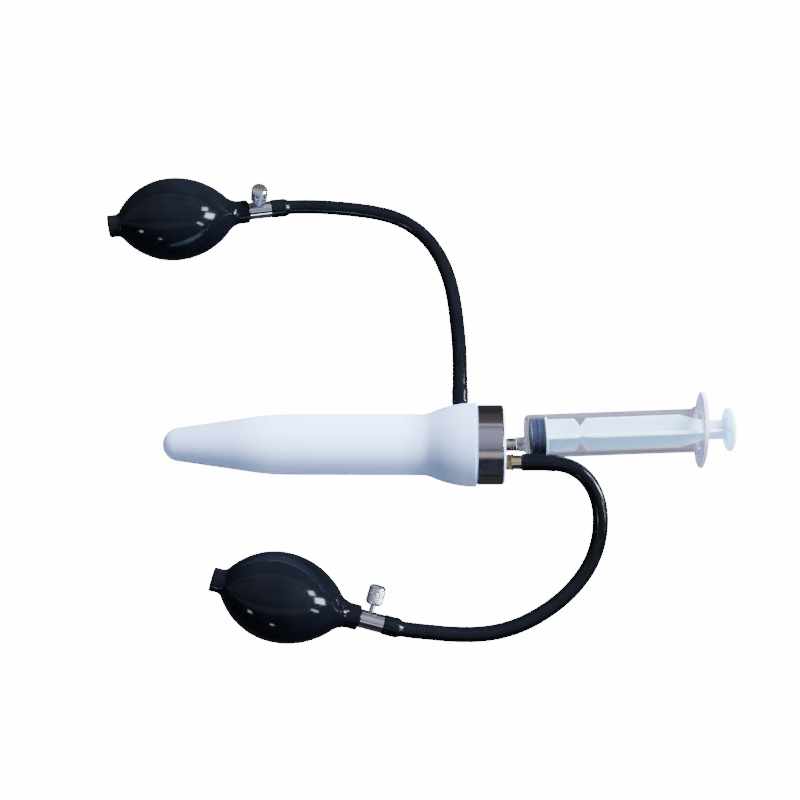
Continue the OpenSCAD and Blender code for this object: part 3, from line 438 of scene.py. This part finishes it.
def smooth(points, step):
    """A centripetal curve through the points, cut into steps of about the given length, in mm."""
    pts = [Vector(p) for p in points]
    pts = [2 * pts[0] - pts[1]] + pts + [2 * pts[-1] - pts[-2]]
    line = []
    for i in range(1, len(pts) - 2):
        p0, p1, p2, p3 = pts[i - 1 : i + 3]
        t0 = 0.0
        t1 = t0 + sqrt((p1 - p0).length)
        t2 = t1 + sqrt((p2 - p1).length)
        t3 = t2 + sqrt((p3 - p2).length)
        cuts = max(2, round((p2 - p1).length / step))
        for c in range(cuts):
            t = t1 + (t2 - t1) * c / cuts
            a1 = p0.lerp(p1, (t - t0) / (t1 - t0))
            a2 = p1.lerp(p2, (t - t1) / (t2 - t1))
            a3 = p2.lerp(p3, (t - t2) / (t3 - t2))
            b1 = a1.lerp(a2, (t - t0) / (t2 - t0))
            b2 = a2.lerp(a3, (t - t1) / (t3 - t1))
            line.append(b1.lerp(b2, (t - t1) / (t2 - t1)))
    line.append(pts[-2])
    return line


def bell_drop(offset):
    """How far the bell lies under the start of the side hose, at an offset from its axis."""
    local = ON_PROBE.to_3x3().transposed() @ offset
    swing = asin((FLARE_END - SIDE_FIT_AT - local.x) / CROWN_R)
    surface = FLARE_R - CROWN_R * (1 - cos(swing))
    return FLARE_R + SIDE_PROUD - sqrt(surface ** 2 - local.z ** 2)


def hose(side, start, start_way, start_cuff, sleeve, route, drop=None):
    """A hollow hose with stretched ends, from a fitting along a route to a bulb's valve."""
    end = ON_BULB[side] @ Vector((NECK_REACH + VALVE_LEN + SNUG, 0, 0))
    end_way = (ON_BULB[side].to_3x3() @ Vector((1, 0, 0))).normalized()
    start = start + start_way * SNUG
    knots = (
        [start + start_way * d for d in (0, start_cuff, start_cuff + CUFF_TAPER)]
        + [Vector(p) for p in route]
        + [end + end_way * d for d in (VALVE_CUFF_LEN + CUFF_TAPER, VALVE_CUFF_LEN, 0)]
    )
    line = smooth(knots, HOSE_STEP)
    for _ in range(SMOOTHING_PASSES):
        held = line[:4] + line[-4:]
        line = (
            held[:4]
            + [(line[i - 1] + 2 * line[i] + line[i + 1]) / 4 for i in range(4, len(line) - 4)]
            + held[4:]
        )
    run = [0.0]
    for a, b in zip(line, line[1:]):
        run.append(run[-1] + (b - a).length)
    total = run[-1]

    def radius(s):
        def cuff(d, length, r):
            if d < CUFF_ROUNDING:
                return r - 0.45 * (1 - d / CUFF_ROUNDING) ** 2
            if d < length:
                waist = pi * (d - CUFF_ROUNDING) / (length - CUFF_ROUNDING)
                return r - 0.12 * sin(waist)
            f = min(1.0, (d - length) / (CUFF_TAPER + 1.0))
            return r + (HOSE_D / 2 - r) * (f * f * (3 - 2 * f))

        start_side = cuff(s, sleeve, FIT_CUFF_R)
        return max(start_side, cuff(total - s, VALVE_CUFF_LEN, VALVE_CUFF_R))

    sides = 40
    last = len(line) - 1
    rings = [(i, radius(run[i]), None) for i in range(last + 1)]
    for i in range(last, -1, -1):
        stretched = min(run[i] - start_cuff, total - run[i] - VALVE_CUFF_LEN) < 0
        rings.append((i, BARB_R + 0.1 if stretched else HOSE_BORE / 2, None))
    if drop:
        rings = [(0, FIT_CUFF_R - 0.1, drop)] + rings + [(0, SUNK_R, None), (0, SUNK_R, drop)]
    points = []
    faces = []
    for i, r, sink in rings:
        if i == 0:
            way = start_way
        elif i == last:
            way = -end_way
        else:
            way = (line[i + 1] - line[i - 1]).normalized()
        across = way.cross(Vector((0, 0, 1))).normalized()
        up = across.cross(way)
        for k in range(sides):
            a = 2 * pi * k / sides
            offset = r * (cos(a) * across + sin(a) * up)
            points.append(line[i] + offset - (way * sink(offset) if sink else Vector()))
    for i in range(len(rings)):
        a = i * sides
        b = (i + 1) % len(rings) * sides
        for k in range(sides):
            n = (k + 1) % sides
            faces.append((a + k, b + k, b + n, a + n))
    piece = add(side + "_hose_rubber", points, faces, HOSE_RUBBER, "instrument", side + "_hose")


TOP_ROUTE = [
    (29.6, 20, 22.8), (29.5, 32, 20.3), (28.9, 44, 16.6), (28.1, 56, 12.6), (26.9, 68, 8.9),
    (24.9, 80, 6.3), (21.4, 91.5, 4.9), (16.4, 102, 4.5), (9.4, 111.5, 4.5), (-0.1, 119.5, 4.5),
    (-11.1, 125, 4.5), (-23.1, 128, 4.5), (-36.1, 129.8, 4.5), (-48.1, 130.8, 4.6),
    (-61.1, 130.9, 5.8),
]
BOTTOM_ROUTE = [
    (86.5, -37.9, 36.5), (94.1, -40.5, 35.2), (100.9, -45.6, 32.6), (106.1, -53.2, 28.8),
    (109.1, -62.6, 23.8), (109.7, -73, 18.4), (107.8, -84, 13.2), (103.2, -94.4, 9.1),
    (96.2, -103.8, 6.3), (86.9, -112.5, 4.9), (75.9, -120, 4.5), (63.9, -126, 4.5),
    (50.9, -129.8, 4.5), (37.9, -131.3, 4.5), (24.9, -131.2, 4.8), (12.9, -130.3, 5.8),
]

hose("top", ON_PROBE @ Vector((SIDE_FIT_AT, FLARE_R + SIDE_PROUD, 0)), Vector((0, 1, 0)),
    SIDE_CUFF_LEN, SIDE_CUFF_LEN, TOP_ROUTE, bell_drop)
hose("bottom", ON_PROBE @ Vector((PLUG_REAR + REAR_SHANK, -REAR_FIT[0], REAR_FIT[1])),
    (ON_PROBE.to_3x3() @ Vector((1, 0, 0))).normalized(), REAR_CUFF_LEN, REAR_SLEEVE_LEN,
    BOTTOM_ROUTE)


# ---------------------------------------------------------------- sheath

def sheath():
    """The silicone cover: outside as its CAD solid but finer, inside plainer."""
    nose = mirror_arc((0, NOSE_R), NOSE_R, acos(HOLE_R / NOSE_R), TAPER, 24)
    taper_r = BODY_R - BLEND_R * (1 - cos(TAPER))
    taper_s = BLEND_END - BLEND_R * sin(TAPER)
    taper = [
        (TAPER_START_R + (taper_r - TAPER_START_R) * t / 10,
            TAPER_START + (taper_s - TAPER_START) * t / 10)
        for t in range(1, 10)
    ]
    blend = [
        (BODY_R - BLEND_R * (1 - cos(a)), BLEND_END - BLEND_R * sin(a))
        for a in [TAPER * (1 - i / 12) for i in range(13)]
    ]
    body = [(BODY_R, BLEND_END + (FLARE_START - BLEND_END) * t / 16) for t in range(1, 16)]
    foot = arc((BODY_R + FOOT_R, FLARE_START), FOOT_R, pi, pi - SLOPE, 16)
    crown = [
        (FLARE_R - CROWN_R * (1 - cos(a)), FLARE_END - CROWN_R * sin(a))
        for a in [SLOPE * (1 - i / 20) for i in range(1, 21)]
    ]
    lip = arc((FLARE_R - LIP_R, FLARE_END), LIP_R, 0, pi / 2, 10)[1:]
    inside = [
        (PLUG_R + SNUG + SKIRT_T, SHEATH_LEN),
        (PLUG_R + SNUG + SKIRT_T, SHEATH_LEN + SKIRT_LEN),
        (PLUG_R + SNUG, SHEATH_LEN + SKIRT_LEN),
        (PLUG_R + SNUG, SHEATH_LEN - PLUG_REACH + PLUG_NOSE_LEN),
        (BODY_R - WALL, SHEATH_LEN - PLUG_REACH),
        (BODY_R - WALL, BLEND_END),
        (INSIDE_FRONT_R, CORE_FRONT),
        (HOLE_R, CORE_FRONT),
    ]
    profile = nose + taper + blend + body + foot + crown + lip + inside
    points, faces = lathe(profile, ON_PROBE, 160)
    add("sheath_skin", points, faces, SILICONE, "instrument", "sheath")


sheath()


# ---------------------------------------------------------------- bulbs

def bulb_half(r, curve, fillet, end_r, steps):
    """Half of a bulb's outline: an arc from its middle, then a hollow curve to an end."""
    centre = end_r + fillet
    swing = acos((centre - r + curve) / (curve + fillet))
    run = (curve + fillet) * sin(swing)
    out = arc((r - curve, 0), curve, 0, swing, steps)
    for i in range(1, steps // 2 + 1):
        a = swing * (1 - 2 * i / steps)
        out.append((centre - fillet * cos(a), run - fillet * sin(a)))
    return out


def whole_bulb(wall, neck_fillet, neck_r, tail_fillet, tail_r, steps):
    """A bulb's outline from its tail to its neck, set in by the given wall."""
    r = BULB_R - wall
    back = bulb_half(r, BACK_CURVE_R - wall, tail_fillet, tail_r, steps)
    front = bulb_half(r, FRONT_CURVE_R - wall, neck_fillet, neck_r, steps)
    return [(x, -y) for x, y in back[:0:-1]] + front


def bulb(side):
    """A squeeze bulb of one side, with its hollow inside and its rounded neck and tail."""
    bore = SPIGOT_R + SNUG
    outer = whole_bulb(0, NECK_FILLET_R, NECK_R, TAIL_FILLET_R, TAIL_R, 48)
    inner = whole_bulb(BULB_WALL, INNER_FILLET_R, bore, INNER_FILLET_R, bore, 24)
    tail = (
        [(bore, -TAIL_REACH)]
        + arc((TAIL_R - 0.9, -TAIL_REACH + 0.9), 0.9, -pi / 2, 0, 6)
    )
    neck = arc((NECK_R - 0.6, NECK_REACH - 0.6), 0.6, 0, pi / 2, 6) + [(bore, NECK_REACH)]
    points, faces = lathe(tail + outer + neck + inner[::-1], ON_BULB[side], 128)
    add(side + "_bulb_rubber", points, faces, RUBBER, "instrument", side + "_bulb")


for side in ON_BULB:
    bulb(side)


# ---------------------------------------------------------------- knobs

def knob(side):
    """The knob of a release screw with a diamond knurl cut into its grip."""
    grip = KNOB_D / 2
    foot = 1.2
    crown = 1.6
    cut = 0.38
    rows = 48
    top = KNOB_H - crown

    def knurl(point, angle):
        depth = min(1.0, max(0.0, (point.x - foot) / 0.5), max(0.0, (top - point.x) / 0.5))
        if hypot(point.y, point.z) < grip - 0.01:
            return point
        turns = KNURLS * angle / (2 * pi)
        pitch = point.x / 1.15
        ridges = [abs((turns + way * pitch) % 1.0 - 0.5) * 2 for way in (1, -1)]
        lower = (1 - depth) * 0.3 + depth * cut * (1 - min(ridges))
        scale = (grip - lower) / grip
        return Vector((point.x, point.y * scale, point.z * scale))

    grip_rows = [(grip, foot + (top - foot) * i / rows) for i in range(rows + 1)]
    hole = SCREW_D / 2 + RUNNING
    profile = (
        [(hole, 0), (grip - 1.6, 0), (grip - 0.5, foot - 0.15)]
        + grip_rows
        + [(grip - 0.45, top + 0.2), (grip - 0.8, KNOB_H - 0.7), (grip - 1.7, KNOB_H - 0.1),
            (grip - 2.2, KNOB_H), (0, KNOB_H), (0, KNOB_H - KNOB_SOCKET),
            (hole, KNOB_H - KNOB_SOCKET)]
    )
    place = ON_SCREW[side] @ shift(0, 0, KNOB_BASE) @ turn(-pi / 2, "Y")
    points, faces = lathe(profile, place, KNURLS * 8, knurl)
    add(side + "_knob_grip", points, faces, KNURLED, side + "_knob", side + "_knob",
        60)


for side in ON_SCREW:
    knob(side)


# ---------------------------------------------------------------- floor and light

SEEN_WHITE = 15.0
PAINTED_SHADE_THROUGH_PLASTIC = 0.6

floor_mesh = bpy.data.meshes.new("floor")
floor_mesh.from_pydata([(-3, -3, 0), (3, -3, 0), (3, 3, 0), (-3, 3, 0)], [], [(0, 1, 2, 3)])
floor = bpy.data.objects.new("floor", floor_mesh)
bpy.context.scene.collection.objects.link(floor)
floor_mat = bpy.data.materials.new("floor_white")
floor_mat.use_nodes = True
tree = floor_mat.node_tree
floor_shader = tree.nodes["Principled BSDF"]
floor_shader.inputs["Base Color"].default_value = (0.34, 0.33, 0.34, 1)
floor_shader.inputs["Roughness"].default_value = 0.9
floor_shader.inputs["Specular IOR Level"].default_value = 0.1


def mixed(factor, first, second):
    """Two shaders, mixed by a factor: the first at 0 and the second at 1."""
    mix = tree.nodes.new("ShaderNodeMixShader")
    tree.links.new(factor, mix.inputs[0])
    tree.links.new(first.outputs[0], mix.inputs[1])
    tree.links.new(second.outputs[0], mix.inputs[2])
    return mix


def backdrop(path, kind):
    """The white that the camera sees, and a greyer one, painted shade, that it sees through the
    clear plastic.
    """
    plain = tree.nodes.new(kind)
    plain.inputs["Color"].default_value = (1, 1, 1, 1)
    plain.inputs["Strength"].default_value = SEEN_WHITE
    # Painted shade: what lies behind the clear plastic is shown much darker and tinted mauve.
    through = tree.nodes.new(kind)
    through.inputs["Color"].default_value = (0.86, 0.82, 1.0, 1)
    through.inputs["Strength"].default_value = PAINTED_SHADE_THROUGH_PLASTIC
    depth = tree.nodes.new("ShaderNodeMath")
    depth.operation = "GREATER_THAN"
    depth.inputs[1].default_value = 0.5
    tree.links.new(path.outputs["Transparent Depth"], depth.inputs[0])
    return mixed(depth.outputs[0], plain, through)


path = tree.nodes.new("ShaderNodeLightPath")
mirrored = tree.nodes.new("ShaderNodeEmission")
mirrored.inputs["Color"].default_value = (0.05, 0.05, 0.06, 1)
unseen = mixed(path.outputs["Is Glossy Ray"], floor_shader, mirrored)
whole = mixed(path.outputs["Is Camera Ray"], unseen, backdrop(path, "ShaderNodeEmission"))
tree.links.new(whole.outputs[0], tree.nodes["Material Output"].inputs["Surface"])
floor_mesh.materials.append(floor_mat)

world = bpy.data.worlds.new("world")
bpy.context.scene.world = world
world.use_nodes = True
tree = world.node_tree
room = tree.nodes["Background"]
room.inputs["Color"].default_value = (0.62, 0.76, 1.0, 1)
room.inputs["Strength"].default_value = 1.1


def calc(kind, a, b=None, c=None):
    """A maths node of the given kind in the world's tree, on numbers and outputs of nodes."""
    node = tree.nodes.new("ShaderNodeMath")
    node.operation = kind
    for socket, value in zip(node.inputs, (a, b, c)):
        if value is None:
            continue
        if isinstance(value, (int, float)):
            socket.default_value = value
        else:
            tree.links.new(value, socket)
    return node.outputs[0]


# What glossy surfaces see: the bands of a room across the probe, and windows to the right
way = tree.nodes.new("ShaderNodeSeparateXYZ")
tree.links.new(tree.nodes.new("ShaderNodeTexCoord").outputs["Generated"], way.inputs[0])
x, y, z = way.outputs
over = calc("DIVIDE", calc("ARCTAN2", z, y), pi)
bands = tree.nodes.new("ShaderNodeValToRGB")
stops = [
    (0.0, (0.10, 0.085, 0.085)), (0.21, (0.14, 0.12, 0.12)), (0.235, (1.1, 1.05, 1.1)),
    (0.26, (0.18, 0.17, 0.22)), (0.33, (0.58, 0.59, 0.78)), (0.5, (0.46, 0.48, 0.66)),
    (0.62, (0.30, 0.31, 0.42)), (0.655, (0.06, 0.06, 0.08)), (0.70, (0.78, 0.70, 0.76)),
    (0.755, (0.60, 0.54, 0.60)), (0.785, (0.02, 0.025, 0.04)), (1.0, (0.02, 0.025, 0.04)),
]
ramp = bands.color_ramp
while len(ramp.elements) < len(stops):
    ramp.elements.new(0.5)
for element, (at, colour) in zip(ramp.elements, stops):
    element.position = at
    element.color = (*colour, 1)
tree.links.new(over, bands.inputs["Fac"])
azimuth = calc("ARCTAN2", y, x)
height = calc("ARCSINE", z)
panes = None
# Middle, half width and half height in degrees, and brightness
for az, el, wide, tall, bright in (
    (0, 15, 6, 8, 130), (16, 26, 5, 4.5, 85), (-25, 20, 2, 6.5, 50), (-135, 20, 3, 2.5, 40),
    (-100, 12, 2.5, 2, 30),
):
    pane = calc("MULTIPLY", calc("COMPARE", azimuth, radians(az), radians(wide)),
        calc("COMPARE", height, radians(el), radians(tall)))
    panes = calc("MULTIPLY_ADD", pane, bright, 0.0 if panes is None else panes)
shine = tree.nodes.new("ShaderNodeVectorMath")
shine.operation = "ADD"
tree.links.new(bands.outputs["Color"], shine.inputs[0])
glass = tree.nodes.new("ShaderNodeVectorMath")
glass.operation = "SCALE"
glass.inputs[0].default_value = (0.80, 0.86, 1.0)
tree.links.new(panes, glass.inputs["Scale"])
tree.links.new(glass.outputs[0], shine.inputs[1])
mirror = tree.nodes.new("ShaderNodeBackground")
tree.links.new(shine.outputs[0], mirror.inputs["Color"])
path = tree.nodes.new("ShaderNodeLightPath")
unseen = mixed(path.outputs["Is Glossy Ray"], room, mirror)
whole = mixed(path.outputs["Is Camera Ray"], unseen, backdrop(path, "ShaderNodeBackground"))
tree.links.new(whole.outputs[0], tree.nodes["World Output"].inputs["Surface"])


def area_light(name, place, look_at, size, power, colour):
    """A soft light that glossy surfaces don't mirror."""
    light = bpy.data.lights.new(name, "AREA")
    light.shape = "RECTANGLE"
    light.size, light.size_y = size
    light.energy = power
    light.color = colour
    lamp = bpy.data.objects.new(name, light)
    bpy.context.scene.collection.objects.link(lamp)
    lamp.location = place
    lamp.rotation_euler = (Vector(look_at) - Vector(place)).to_track_quat("-Z", "Y").to_euler()
    lamp.visible_glossy = False


area_light("ceiling", (0.9, 0.8, 0.95), (0, 0, 0), (0.9, 0.9), 300, (0.66, 0.80, 1.0))
